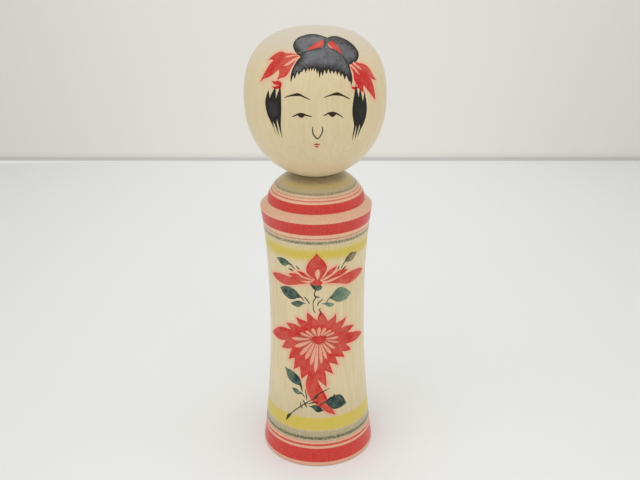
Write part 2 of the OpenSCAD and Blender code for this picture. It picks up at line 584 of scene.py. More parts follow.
def make_wash_group():
    """Uneven strength of a thin paint: brush streaks, pooled edges, scuffs and the grain that shows through."""
    w, given, out = new_group(
        "Brush wash",
        [("Place", "Vector"), ("Deep", "Color"), ("Thin", "Color"), ("Tone", "Float"), ("Depth", "Float"),
         ("Unevenness", "Float"), ("Pooling", "Float"), ("Scuffs", "Float"), ("Fibres", "Float")],
        [("Colour", "Color"), ("Height", "Float")],
    )
    place = w.scaled(given["Place"], IN_MM)
    blots = w.noise(place, 0.42, 4.0, 0.66)
    specks = w.noise(place, 2.6, 2.0, 0.6)
    rough = w.math("MULTIPLY_ADD", w.math("SUBTRACT", specks, 0.5), 0.9, w.math("SUBTRACT", blots, 0.5))
    rough = w.math("MULTIPLY_ADD", w.math("SUBTRACT", w.noise(place, 0.13, 2.0), 0.5), 1.3, rough)
    pooled = w.math("MULTIPLY", w.ramp(given["Depth"], 0.0, 0.9, -1.0, 0.0), given["Pooling"])
    share = w.math("MULTIPLY_ADD", rough, given["Unevenness"], w.math("ADD", given["Tone"], pooled), clamp=True)
    base = w.mix(share, given["Deep"], given["Thin"])
    base = w.mix(w.math("MULTIPLY", given["Fibres"], 0.16), base, (0.5, 0.5, 0.5), "MULTIPLY")
    scuffs = None
    for turn, offset in ((0.7, 3.0), (-1.1, 11.0)):
        along = w.node("ShaderNodeVectorRotate", {"Vector": place, "Angle": turn}, rotation_type="Y_AXIS")
        line = w.noise(w.scaled(along.outputs[0], (0.13, 0.13, 2.1), (offset, 0, 0)), 1.0, 2.0)
        line = w.ramp(line, 0.7, 0.76)
        scuffs = line if scuffs is None else w.math("MAXIMUM", scuffs, line)
    w.feed(out["Colour"], w.mix(w.math("MULTIPLY", scuffs, given["Scuffs"]), base, (0.42, 0.41, 0.39)))
    w.feed(out["Height"], w.math("MULTIPLY_ADD", specks, 0.5, w.math("MULTIPLY", blots, 0.5)))


def make_ring_group():
    """One ring painted while the piece turned, with a soft edge and a broken, bristly strength. The same band also
    lays painted shade.
    """
    w, given, out = new_group(
        "Lathe ring",
        [("Colour", "Color"), ("Paint", "Color"), ("Height", "Float"), ("Low", "Float"), ("High", "Float"),
         ("Softness", "Float"), ("Strength", "Float"), ("Bristle", "Float"), ("Break", "Float")],
        [("Colour", "Color")],
    )
    half = w.math("MULTIPLY", given["Softness"], 0.5)
    rise, fall = (
        w.ramp(given["Height"], w.math("SUBTRACT", edge, half), w.math("ADD", edge, half))
        for edge in (given["Low"], given["High"])
    )
    band = w.math("MULTIPLY", rise, w.math("SUBTRACT", 1.0, fall))
    broken = w.math("SUBTRACT", 1.0, w.math("MULTIPLY", given["Bristle"], given["Break"]))
    mask = w.math("MULTIPLY", w.math("MULTIPLY", band, given["Strength"]), broken, clamp=True)
    w.feed(out["Colour"], w.mix(mask, given["Colour"], given["Paint"]))


BUMP_DISTANCE = 0.05 * MM
SHEEN_PATCHES = 14.0  # how far the edge of the painted sheen wanders up and down, in mm
WOOD_WAX = {
    "Specular IOR Level": 0.3, "Coat Weight": 0.5, "Coat Roughness": 0.3,
    "Sheen Weight": 0.05, "Sheen Roughness": 0.5,
}
PAINT_WAX = {"Specular IOR Level": 0.2, "Coat Weight": 0.25, "Coat Roughness": 0.3}


def new_material(name):
    material = bpy.data.materials.new(name)
    material.use_nodes = True
    w = Wiring(material.node_tree)
    shader = material.node_tree.nodes["Principled BSDF"]
    return material, w, shader


def wax(w, shader, colour, roughness, relief, bump, constants):
    """Feeds the shader its colour, roughness and relief, and sets its constant inputs."""
    w.feed(shader.inputs["Base Color"], colour)
    w.feed(shader.inputs["Roughness"], roughness)
    for name, value in constants.items():
        shader.inputs[name].default_value = value
    relief = w.node("ShaderNodeBump", {"Height": relief, "Strength": bump, "Distance": BUMP_DISTANCE})
    w.feed(shader.inputs["Normal"], relief.outputs[0])


# Rings as (low, high, softness, paint, strength, break), heights in mm above the floor; the rows marked below as
# painted shade darken the wood
BODY_RINGS = (
    # Painted shade: the body darker towards the bottom
    (-40.0, 38.0, 50.0, "stem_and_shade", 0.18, 0.0),
    # The bare foot darker, below 2.9 mm
    (-1.0, 2.9, 0.3, "stem_and_shade", 0.1, 0.2),
    # Partly a stain and partly painted shade: the ledge and the dome darker
    (147.0, 175.0, 2.0, "stem_and_shade", 0.09, 0.15),
    (-1.0, 16.2, 0.9, "blush", 0.62, 0.2),
    (137.9, 159.8, 1.4, "blush", 0.58, 0.3),
    # Painted shade on the ledge, broken into streaks
    (148.4, 151.6, 0.8, "stem_and_shade", 0.09, 0.9),
    (161.2, 170.0, 1.4, "lip", 0.12, 0.25),
    # Partly the dome's own darker tint and partly painted shade under the head
    (161.2, 170.0, 1.4, "stem_and_shade", 0.16, 0.35),
    # Painted shadow of the head on the dome, next to the neck
    (164.6, 170.0, 2.0, "stem_and_shade", 0.34, 0.2),
    (161.4, 170.0, 1.2, "moss", 0.07, 0.3),
    (2.75, 11.35, 0.4, "red", 0.98, 0.07),
    (12.85, 14.15, 0.4, "red", 0.95, 0.15),
    (15.4, 15.95, 0.4, "lip", 0.38, 0.4),
    (16.3, 22.3, 1.0, "moss", 0.24, 0.3),
    (16.9, 18.8, 0.6, "moss", 0.5, 0.3),
    (17.0, 18.65, 0.5, "moss", 0.85, 0.9),
    (19.3, 19.9, 0.5, "moss", 0.25, 0.4),
    (20.7, 21.2, 0.5, "moss", 0.2, 0.4),
    (22.7, 30.5, 1.8, "yellow", 0.88, 0.12),
    (126.6, 132.9, 5.0, "yellow", 0.94, 0.14),
    (133.9, 134.4, 0.4, "moss", 0.2, 0.4),
    (135.0, 135.4, 0.4, "moss", 0.18, 0.4),
    (135.5, 138.0, 0.9, "moss", 0.34, 0.4),
    (135.95, 137.3, 0.7, "moss", 0.74, 0.65),
    (138.6, 139.2, 0.35, "lip", 0.66, 0.2),
    (141.2, 147.65, 0.4, "red", 0.98, 0.07),
    (151.5, 156.4, 0.35, "red", 0.98, 0.07),
    (157.55, 158.1, 0.35, "red", 0.8, 0.15),
    (159.0, 159.45, 0.4, "lip", 0.5, 0.25),
    (160.0, 161.6, 1.0, "moss", 0.24, 0.3),
    (160.4, 161.1, 0.5, "moss", 0.6, 0.5),
    (162.6, 164.4, 1.4, "yellow", 0.34, 0.3),
)


def wood_material(name, pith, ring_spacing, contrast, rings=(), crown_sheen=None):
    """Waxed pale timber with its growth rings, dye creep and lathe rings, some of which are painted shade.

    crown_sheen is (low z, high z, share) in mm: where a painted sheen greys the wood with height, and how far.
    """
    paints = colours()
    material, w, shader = new_material(name)
    place = w.node("ShaderNodeTexCoord").outputs["Object"]
    grain = w.group("Timber grain", {
        "Place": place, "Pith": pith, "Ring spacing": ring_spacing, "Contrast": contrast,
    })
    base = w.mix(grain["Shade"], paints.wood_pale, paints.wood_deep)
    split = w.node("ShaderNodeSeparateXYZ", {"Vector": w.scaled(place, IN_MM)})
    # Painted sheen: the wood greys towards the crown, along a wandering edge
    if crown_sheen:
        low, high, share = crown_sheen
        patches = w.noise(w.scaled(place, (90, 90, 60)), 1.0, 3.0)
        patchy = w.math("MULTIPLY_ADD", patches, SHEEN_PATCHES, split.outputs["Z"])
        shift = SHEEN_PATCHES / 2
        base = w.mix(w.ramp(patchy, low + shift, high + shift, 0.0, share), base, paints.crown_sheen)
    crept = w.node("ShaderNodeAttribute", attribute_name="creep").outputs["Fac"]
    base = w.mix(w.ramp(crept, 0.0, 1.0, 0.0, 0.66), base, paints.blush)
    wobble = w.noise(w.scaled(place, (60, 60, 400)), 1.0, 2.0)
    height = w.math("MULTIPLY_ADD", w.math("SUBTRACT", wobble, 0.5), 0.3, split.outputs["Z"])
    bristle = w.ramp(w.noise(w.scaled(place, (1500, 1500, 900)), 1.0, 2.0, 0.6), 0.42, 0.6)
    # Most rings are painted bands; the marked rows of BODY_RINGS are painted shade
    for low, high, softness, dye, strength, gap in rings:
        base = w.group("Lathe ring", {
            "Colour": base, "Paint": getattr(paints, dye), "Height": height, "Low": low, "High": high,
            "Softness": softness, "Strength": strength, "Bristle": bristle, "Break": gap,
        })["Colour"]
    wax(w, shader, base, w.ramp(grain["Fibres"], 0.0, 1.0, 0.42, 0.52, soft=False), grain["Fibres"], 0.12, WOOD_WAX)
    return material


def paint_material(name, deep, thin, unevenness=0.5, pooling=0.15, scuffs=0.0, lightens=None, top_highlight=None):
    """Thin water-based paint on the wood, under wax.

    lightens is (depth in mm, gain): the paint grows lighter away from its edges. top_highlight is (low z, high z,
    gain), z in mm: a painted highlight that lightens the paint towards its top.
    """
    paints = colours()
    material, w, shader = new_material(name)
    place = w.node("ShaderNodeTexCoord").outputs["Object"]
    tone = w.node("ShaderNodeAttribute", attribute_name="tone").outputs["Fac"]
    depth = w.node("ShaderNodeAttribute", attribute_name="depth").outputs["Fac"]
    if lightens:
        tone = w.math("ADD", tone, w.ramp(depth, 0.2, lightens[0], 0.0, lightens[1]))
    # Painted highlight: the paint lighter towards its top
    if top_highlight:
        height = w.node("ShaderNodeSeparateXYZ", {"Vector": place}).outputs["Z"]
        tone = w.math("ADD", tone, w.ramp(height, top_highlight[0] * MM, top_highlight[1] * MM, 0.0, top_highlight[2]))
    grain = w.group("Timber grain", {"Place": place, "Pith": BODY_PITH, "Ring spacing": 2.6, "Contrast": 1.0})
    wash = w.group("Brush wash", {
        "Place": place, "Deep": getattr(paints, deep), "Thin": getattr(paints, thin), "Tone": tone,
        "Depth": depth, "Unevenness": unevenness, "Pooling": pooling, "Scuffs": scuffs, "Fibres": grain["Fibres"],
    })
    gloss = w.ramp(wash["Height"], 0.3, 0.7, 0.55, 0.45, soft=False)
    wax(w, shader, wash["Colour"], gloss, wash["Height"], 0.1, PAINT_WAX)
    return material


# Paints as (deep colour, thin colour, settings)
PAINTS = {
    "red_dye": ("red", "red_thin", {"unevenness": 1.3, "pooling": 0.25}),
    "bare_slits": ("blush", "wood_pale", {}),
    "leaf_green": ("leaf", "leaf_thin", {"unevenness": 1.2, "pooling": 0.1}),
    "stem_ink": ("stem_and_shade", "leaf_thin", {"unevenness": 0.6}),
    "bud_wash": ("stem_and_shade", "wood_deep", {"unevenness": 1.2}),
    "black_ink": ("ink", "ink_thin", {"unevenness": 0.25, "lightens": (2.6, 0.16)}),
    "face_ink": ("line", "stem_and_shade", {"unevenness": 0.4}),
    # In the bun the lighter middle is partly the thin wash and partly a painted highlight; its lighter top is a
    # painted highlight
    "bun_wash": ("ink", "ink_thin", {
        "unevenness": 1.2, "pooling": 0.5, "scuffs": 0.55, "lightens": (3.6, 0.7), "top_highlight": (237.0, 240.0, 0.5),
    }),
    "lip_red": ("lip", "red_thin", {"unevenness": 0.4}),
}


def paint(name):
    """The paint of that name, mixed when it is first asked for."""
    deep, thin, settings = PAINTS[name]
    return bpy.data.materials.get(name) or paint_material(name, deep, thin, **settings)


# ---------------------------------------------------------------- outlines, (x, z) in mm

HAIR = outline(
    [(-6.9, 233), (-9.3, 234.7), (-10.4, 237.3), (-8.7, 239.4), (-5, 240.6), (-1, 241), (3.4, 240.5)],
    [(6, 239.8), (9, 240.1), (13, 239.3), (17, 237.4), (20, 234.8), (21.2, 232.3), (20.6, 230.4), (18.8, 229.3)],
    [(16.4, 228.8), (17.1, 226.2), (17.8, 223)], *sharp((17.4, 219.5), (16.8, 221.4), (16.1, 221.7), (14.9, 224.55),
     (14.2, 222.45), (13, 225.55), (12.3, 223.85), (11.4, 226.45), (10.6, 224.75), (9.8, 226.95), (8.9, 225.45),
     (8.1, 227.15), (7.2, 225.55), (6.3, 227.85), (5.5, 225.45), (4.5, 227.55), (3.6, 224.75), (2.9, 226.85),
     (2.1, 223.95), (1.5, 227.35), (0.9, 225.85), (0.3, 228.25), (-0.3, 226.85), (-0.9, 228.45), (-1.6, 226.95),
     (-2.1, 228.45), (-2.8, 226.75), (-3.4, 228.35), (-4.5, 226.25), (-5.1, 228.05), (-6.2, 226.6), (-6.9, 226.4),
     (-7.7, 225.15), (-8.4, 226.55), (-9.7, 223.45), (-10.3, 225.15)),
    [(-11.6, 221.7), (-11.6, 224.6), (-10.7, 227.6), (-9.2, 230.3)],
)
BUN_RIBBONS = [
    outline(
        [(-4, 235.3), (-1.8, 237.1), (1.2, 238.5)], [(4.2, 239.2), (4.1, 237.9)],
        [(3.5, 236.7), (1, 236.3), (-1.6, 235.8)],
    ),
    outline(
        [(6.1, 238), (7.9, 238.6), (10, 237.5), (11.6, 235.8)],
        [(13, 233.3), (11.4, 234.4), (9.6, 235.5), (8, 235.9), (6.8, 236.8)],
    ),
]
BUN_LINES = [
    stroke((-4.4, 235.05, 0.2), (-1.6, 235.45, 0.4), (1, 235.95, 0.45), (3.4, 236.3, 0.3)),
    stroke((4.6, 239.3, 0.3), (4.95, 238.3, 0.8), (4.8, 237.2, 0.8), (4.4, 236.3, 0.2)),
    stroke((6.6, 236.5, 0.2), (7.9, 235.5, 0.35), (9.5, 235.1, 0.4), (11.4, 234, 0.35), (12.8, 233, 0.15)),
    stroke((-7, 233.1, 0.3), (-6, 233.9, 0.8), (-4.8, 234.7, 0.7), (-3.6, 235.15, 0.25)),
    stroke((16.6, 228.9, 0.3), (15.5, 229.8, 0.8), (14.3, 231.3, 0.8), (13.2, 232.7, 0.25)),
]
BUN_GLINTS = [
    stroke((6.35, 238, 0.15), (6.65, 237.2, 0.35), (7.5, 236.5, 0.4), (8.5, 236.2, 0.15)),
]
LEFT_RIBBONS = outline(
    [(-7.4, 233.7), (-11, 234), (-13.8, 233.9), (-16, 234.3), (-18.5, 233.3), (-20.6, 231.9)],
    [(-22.6, 230), (-21, 230.6)], [(-19.8, 230.4), (-21.7, 228.6), (-23.3, 226.2), (-24.8, 223.6)],
    [(-26.6, 220.2), (-24.6, 221.8), (-22, 223.2), (-19.6, 225)], [(-17.2, 227), (-17.1, 225.2)],
    [(-18.2, 222.3), (-16.4, 223.3), (-14.2, 224.2), (-12.4, 226.2), (-11.3, 228.2), (-9.8, 230.3)], [(-8.6, 231.9)],
    [(-7, 233)],
)
LEFT_SLITS = [
    stroke((-7.6, 233.3, 0.3), (-10.2, 233.25, 0.5), (-12.4, 232.8, 0.55), (-14.3, 232.2, 0.15)),
    stroke((-7, 232.9, 0.7), (-9.5, 231.7, 1.1), (-11.5, 230.5, 1.05), (-13.6, 229.3, 0.8), (-15, 228.6, 0.15)),
]
RIGHT_RIBBONS = outline(
    [(19.3, 229.6), (21.5, 228.7), (23.8, 227.9), (25.6, 226.4), (27.2, 224.1), (28.4, 221.8)],
    [(29.8, 219.5), (28.4, 220.2)], [(27, 221.3), (28, 218.6), (28.8, 215.6), (29.3, 212.8)],
    [(29.5, 210.3), (28.2, 212.1), (26.4, 214.8), (24.8, 217)], [(23.5, 218.9), (23.2, 217.2)],
    [(23.7, 215.2), (22.4, 216.2), (21.2, 217.6)],
    [(20, 219.6), (19.2, 221), (18.6, 222.4), (18.5, 224.2), (18, 226)], [(16.8, 227.9)], [(17.4, 228.9)],
)
RIGHT_SLITS = [
    stroke((18.2, 229.5, 0.9), (20, 227.9, 0.75), (21.4, 226.7, 0.6), (22.4, 225.8, 0.15)),
    stroke((16.9, 228.7, 0.9), (18.8, 226.9, 0.75), (20.2, 225.2, 0.6), (21.4, 223.8, 0.15)),
]
LEFT_LOCK = outline(
    [(-22.5, 217.1), (-22.2, 215.2)], [(-22, 212.9), (-21.2, 215.3), (-20, 217.4)], [(-19.2, 219.2), (-18.9, 217)],
    [(-19, 213.3), (-18.2, 215.6), (-17.3, 218)],
    [(-16.8, 220.8), (-16.4, 217), (-16.35, 213), (-16.4, 208), (-16.7, 203), (-16.8, 199.5)],
    [(-16.2, 193.7), (-17.3, 198), (-18.1, 201.4)], [(-18.7, 203.9), (-18.8, 201.6), (-18.4, 199)],
    [(-17.8, 194.7), (-18.9, 198.4), (-19.9, 200.8)], [(-20.7, 202.4), (-20.4, 200.2)], [(-19.4, 195.3),
     (-20.6, 199.2), (-21.9, 202), (-23.2, 204.8), (-24, 208), (-24.25, 210.6), (-23.8, 213.6), (-23.1, 215.6)],
)
RIGHT_LOCK = outline(
    [(19.6, 220.4), (19, 216.6), (18.4, 213), (18, 210), (17.9, 206), (18.4, 202.6), (18.8, 199.5), (18.4, 196.4)],
    [(17.9, 191.8), (18.9, 195.8), (19.5, 198.4)], [(19.8, 200.4), (19.9, 198), (19.6, 195.6)],
    [(19.2, 192), (20.3, 195.6), (21, 198.2)], [(21.6, 200.2), (21.7, 198.4), (21.2, 196.4)],
    [(20.7, 193.2), (22, 196.8), (23.3, 199.4), (24.4, 202.2), (25, 205.4), (25.1, 208), (24.8, 211), (24.3, 213.6)],
    [(23.9, 215.6), (23.5, 213.6)], [(23.1, 211), (22.7, 213), (22.2, 215.4)], [(21.7, 218), (21.3, 216)],
    [(21, 213.4), (20.4, 216), (19.9, 218.2)],
)
LOCK_TIES = [
    outline(
        [(-20.8, 221.5), (-19.2, 221.5), (-17.4, 222), (-16.2, 221.3), (-16.1, 219.8)], [(-16.8, 218.6)],
        [(-17.2, 220.1), (-18.4, 220), (-19.6, 220.2)],
    ),
    outline(
        [(-20.7, 219.1), (-19.2, 219.1), (-17.9, 219.8)], [(-17, 219.9)],
        [(-17.1, 218.6), (-18.2, 218.2), (-19.6, 218.2)],
    ),
    outline(
        [(17.2, 219.3), (18.5, 218.8), (20, 218.6)], [(22, 218.7)],
        [(21.8, 217.9), (20.2, 217.8), (18.9, 217.6), (17.9, 218)],
    ),
]
BROWS = [
    stroke((-14.8, 214.5, 0.26), (-13, 215.3, 0.59), (-11, 215.9, 0.85), (-9.6, 216.2, 1.2), (-8.4, 216.4, 1.4),
           (-7.4, 216.3, 1.2), (-6, 215.75, 0.78), (-4.4, 215, 0.59), (-2.4, 214.2, 0.33)),
    stroke((4.2, 215.1, 0.33), (6, 215.7, 0.52), (8, 216.2, 0.85), (9.8, 216.45, 1.4), (10.8, 216.4, 1.5),
           (11.8, 216.05, 1.2), (13.2, 215.4, 0.72), (15, 214.4, 0.52), (16.5, 213.5, 0.39)),
]
LIDS = [
    stroke((-11.1, 205.6, 0.35), (-9.8, 206.2, 0.63), (-8.6, 206.9, 0.7), (-7.2, 207.35, 0.77), (-6, 207.2, 0.84),
           (-5, 206.85, 0.84), (-3.6, 206.4, 0.63), (-1.6, 206, 0.35)),
    stroke((3.9, 206.4, 0.35), (5.2, 206.9, 0.63), (6.4, 207.5, 0.7), (7.8, 207.75, 0.77), (9.2, 207.5, 0.84),
           (10.4, 206.9, 0.77), (11.8, 206, 0.56), (13.4, 204.7, 0.28)),
]
PUPILS = [
    outline(
        [(-8.9, 206.9), (-8.2, 206.1), (-7.4, 205.5), (-6.7, 205.3), (-5.9, 205.6), (-5.2, 206.3)],
        [(-4.8, 206.9), (-5.8, 207.5), (-7.2, 207.6)],
    ),
    outline(
        [(5.9, 207.3), (6.6, 206.6), (7.4, 205.8), (8.3, 205.5), (9.2, 205.9)],
        [(10.1, 206.9), (8.8, 207.8), (7.2, 207.95)],
    ),
]
NOSE = [
    stroke((-1.3, 201.1, 0.26), (-1.4, 199.2, 0.52), (-1.2, 197.6, 0.59), (-0.4, 196, 0.65), (0.9, 194.5, 0.59)),
    stroke((0.8, 194.5, 0.59), (1.8, 195.4, 0.52), (2.7, 196.8, 0.52), (3.35, 198.4, 0.59), (3.4, 200, 0.52),
           (3.1, 201.1, 0.26)),
]
MOUTH = [
    stroke((-0.7, 191.6, 0.36), (0.6, 191.65, 0.78), (2, 191.4, 0.3)),
    stroke((-0.3, 190.4, 0.36), (0.5, 190.35, 0.66), (1.4, 190, 0.3)),
]

LILY = [
    outline(
        [(0, 130.9), (1.6, 128.9), (3.4, 126.7), (4.8, 124.4), (5.4, 122.2), (4.8, 120), (3.8, 118.2), (2.6, 116.2)],
        [(1.6, 114.9)], [(3, 113.6), (2.4, 112.4), (1, 111.8), (-1, 111.7), (-2.8, 112.2)], [(-3.7, 113.3)],
        [(-2, 114.3)], [(-0.9, 115.6), (-2, 116.4), (-3.6, 117.5), (-4.9, 118.9), (-5.5, 121.2), (-4.8, 124),
         (-3.4, 126.6), (-1.5, 128.7)],
    ),
    outline(
        [(-10.5, 119.8), (-7.4, 119.4), (-6, 118.5), (-4.5, 117.3), (-2.4, 116.3)],
        [(-1.2, 115.4), (-3, 115.7), (-5.2, 116.4), (-7.2, 117), (-8.8, 118.2)],
    ),
    outline(
        [(-23.9, 113), (-21.4, 114.9), (-18, 115.5), (-15, 115.3)], [(-12.9, 115.4)],
        [(-15.2, 117), (-12.6, 117.9), (-10, 117.8), (-8.3, 116.5), (-5.5, 115.5)], [(-1.8, 114.8), (-4.5, 114.5)],
        [(-9, 114.2), (-6.8, 113.6)],
        [(-3.6, 113.2), (-6.8, 112.6), (-10, 111.7), (-13.5, 110.6), (-16.5, 109.9), (-19.8, 110.3), (-22.3, 111.4)],
    ),
    outline(
        [(10.7, 122.4), (9.6, 120.2), (7.6, 118.2), (5.2, 116.9), (3.4, 115.7)],
        [(2.2, 115), (3.4, 116.4), (4.6, 117.8), (5.4, 119.2), (6.6, 120.5), (8.4, 121.6)],
    ),
    outline(
        [(16.5, 119.1), (14, 119.4), (11.5, 119.4), (9.6, 118.2), (7.8, 116.9), (5, 115.3)],
        [(2.6, 114.6), (5.4, 114.5), (8.2, 115.4), (10.5, 115.9), (12.6, 116.2), (14.8, 117.4)],
    ),
    outline(
        [(24.9, 114.2), (23.5, 115.8), (20.5, 116.9), (17.5, 116.9), (14.5, 116.3), (12, 115.4), (9, 114.2),
         (6, 113.3)], [(2.8, 113), (6.5, 112.8), (10, 112.3), (12.5, 111.7), (14.2, 110.9), (15.8, 110.3),
         (18.6, 110.5), (21.5, 111.6), (23.8, 113)],
    ),
]
LILY_TONES = ((0.5, 0.45), (0.48, 0.68), (0.53, 0.68), (0.68, 0.48), (0.68, 0.43), (0.68, 0.48))
LILY_SLIT = outline(
    [(0.4, 115.2), (-0.5, 117.2), (-0.8, 119.4), (-0.1, 120.8), (0.8, 121.5), (1.5, 120.5), (1.7, 118.6),
     (1.2, 116.6)],
)
CALYX = outline(
    [(-3.7, 113), (-2.9, 111.5), (-1.9, 109.9), (-0.7, 109.1), (0.5, 108.8), (1.8, 109.1), (2.6, 110.2),
     (2.6, 111.4)], [(1.9, 112), (0.2, 111.6), (-1.8, 112.2)],
)
LEAVES = [
    outline(
        [(-21.3, 124.3), (-19.6, 125.2), (-17.6, 125.5), (-15.8, 124.9), (-14.4, 123.7)],
        [(-13.4, 122.9), (-15, 122.4), (-16.2, 121.4), (-17.6, 121), (-19.2, 121.9), (-20.3, 123.4)],
    ),
    outline(
        [(-19.7, 107), (-18, 108.4), (-15.5, 109.2), (-13.2, 109), (-11.2, 107.8), (-9.6, 105.9)], [(-8.2, 104.1),
         (-10.4, 103.5), (-12.2, 102.4), (-14.4, 101.9), (-16.4, 102.6), (-18.2, 104.2), (-19.1, 105.8)],
    ),
    outline(
        [(-14.1, 99.5), (-12.6, 100.8), (-10.6, 101.8), (-8.6, 101.8), (-7.2, 101.3)],
        [(-5.8, 100.9), (-7.2, 100.4), (-8.3, 99.5), (-9.2, 98.5), (-10.2, 98), (-11.8, 98.4), (-13.2, 99)],
    ),
    outline(
        [(6.9, 103.7), (8.2, 105.8), (9.8, 108), (11.4, 109.2), (13.2, 109.2), (15, 108.2), (16.5, 106.5)],
        [(18.4, 104.2), (17.2, 102.6), (15.8, 101.2), (13.8, 100.7), (11.4, 100.8), (9.6, 101.7), (8.2, 102.8)],
    ),
    outline(
        [(2.2, 100.9), (4.4, 101.3), (6, 101.4), (7.8, 100.8)],
        [(9.4, 99.9), (8.4, 99), (7.2, 98.6), (5.8, 99.1), (4.4, 100.2)],
    ),
    outline(
        [(-18.2, 58.8), (-16.5, 58.4), (-14.4, 58.1), (-12.2, 57), (-10.6, 55.6), (-9.5, 53.8), (-9, 51.6)],
         [(-8.8, 49.4), (-10, 49.9), (-11.6, 50.1), (-13.4, 50.5), (-15.2, 51.6), (-16.6, 53.4), (-17.2, 55.6),
         (-17.5, 57.3)],
    ),
    outline(
        [(-14.4, 47.3), (-13, 47.6), (-11.4, 47.4), (-10.2, 46.4)],
        [(-8.7, 45.4), (-9.6, 44.8), (-11, 44.2), (-12.6, 44.8), (-13.6, 46)],
    ),
    outline(
        [(-5.3, 37.8), (-3.6, 38.1), (-2, 38.7), (-0.4, 38.6), (1, 37.8), (2, 36.6)],
        [(3.4, 35.1), (1.6, 34.6), (-0.1, 34.2), (-1.6, 35.2), (-3, 36.8)],
    ),
    outline(
        [(3.6, 40.2), (5.4, 41.8), (6.8, 43), (8.5, 43.6)],
        [(9.2, 44.7), (9.9, 43.8), (11.6, 43.8), (13.2, 42.8), (14.4, 41), (15.2, 39)],
        [(16.1, 37), (14.4, 36.1), (12.6, 35.4), (10.4, 35.2), (8.6, 35.5), (7, 36.9), (5.2, 38.9)],
    ),
]
LEAF_TONES = (
    (0.5, 0.3), (0.4, 0.26), (0.4, 0.45), (0.5, 0.85), (0.6, 0.85), (0.55, 0.3), (0.55, 0.45), (0.3, 0.1),
    (0.0, 0.25),
)
PALE_BUD = outline(
    [(14.9, 123.8), (15.2, 125.4), (16.4, 127), (17.9, 128.2), (19.4, 128)],
    [(21.4, 127.3), (20.9, 126.2), (20.2, 125), (19, 123.7), (17.4, 123.2), (16, 123.4)],
)
STEMS = [
    stroke((-0.4, 109.6, 0.9), (-1, 108, 0.6), (-1.3, 106.6, 0.5), (-0.9, 105.4, 0.8), (0.2, 105, 0.8),
           (1.5, 104.9, 0.25)),
    stroke((-0.2, 105, 0.5), (-1.1, 103.7, 0.6), (-1.8, 102.4, 0.45), (-2.1, 100.8, 0.35), (-2, 99, 0.35),
           (-1.9, 97.6, 0.45), (-1.5, 96.6, 0.5), (-0.7, 95.4, 0.2)),
    stroke((-14.4, 123.3, 0.9), (-13.4, 122.6, 0.7), (-12.4, 121.6, 0.45), (-11.6, 120.6, 0.3)),
    stroke((-14.9, 120.3, 0.2), (-13.6, 119.8, 0.9), (-12.3, 119.5, 0.4)),
    stroke((-10.9, 122.5, 0.3), (-10, 121.8, 0.5), (-9.1, 121, 0.4)),
    stroke((15.3, 124.2, 0.6), (14.3, 123.1, 0.4), (13.4, 121.6, 0.35), (12.9, 120.2, 0.2)),
    stroke((11.7, 122.3, 0.3), (11.5, 121.3, 0.45), (10.9, 120.2, 0.3)),
    stroke((15.4, 121.2, 0.3), (14.6, 120.2, 0.7), (13.4, 119.4, 0.4)),
    stroke((-8.9, 104.7, 0.8), (-8, 103.9, 0.45), (-7.4, 103, 0.35), (-6.9, 102.1, 0.2)),
    stroke((-6.8, 104.8, 0.3), (-5.4, 103.2, 0.55), (-3.8, 100.8, 0.35)),
    stroke((8, 104.7, 0.9), (6.8, 104, 0.5), (5.8, 102.8, 0.35), (5, 101.4, 0.3)),
    stroke((3.3, 103.7, 0.25), (1.6, 102.3, 0.55), (0.6, 101, 0.55), (0.2, 99.7, 0.3)),
    stroke((1.9, 98.2, 0.25), (1.3, 97.2, 0.45), (1.9, 96.2, 0.6), (1.9, 94.9, 0.65), (1.1, 93.2, 0.2)),
    stroke((-9.6, 51.4, 1.3), (-9.2, 49.6, 1.1), (-8.8, 48, 0.75), (-8.5, 46.4, 0.35)),
    stroke((-9.6, 45.6, 1), (-8.6, 45, 0.65), (-7.8, 44, 0.5), (-7.2, 43.1, 0.25)),
    stroke((-6.9, 47.9, 0.25), (-6.5, 45.6, 0.5), (-6.2, 43.4, 0.6), (-6.3, 41.4, 0.25)),
    stroke((-8.3, 41.5, 0.25), (-7.4, 39.6, 0.75), (-6.9, 38.6, 0.85), (-6.1, 37, 0.5)),
    stroke((6.5, 48.7, 0.25), (4, 47.5, 0.5), (1.5, 46.2, 0.6), (0.2, 45.3, 0.7), (-0.7, 44.1, 1.7),
           (-1.9, 42.9, 0.9), (-3, 42, 0.5), (-4.8, 41, 0.45), (-6.5, 39.7, 0.55), (-7.6, 38.8, 0.55),
           (-9.4, 37.2, 0.55), (-11.5, 35.2, 0.45), (-13.5, 33, 0.45), (-15.2, 31, 0.6), (-16.4, 29.3, 1.5),
           (-17.1, 27.9, 1.1), (-18, 25.7, 0.15)),
    stroke((-6.4, 39.3, 0.25), (-4.6, 39.5, 0.4), (-2.8, 40.2, 0.7), (-1.2, 40.4, 0.55), (0.4, 40, 0.2)),
    stroke((-9.7, 39.7, 0.25), (-9.6, 38.2, 0.5), (-9.4, 37, 0.65), (-8.3, 36.1, 0.35)),
    stroke((1.1, 38.1, 0.3), (2.2, 39.4, 0.65), (3.6, 40.1, 0.9), (5.4, 40.5, 1.1)),
]
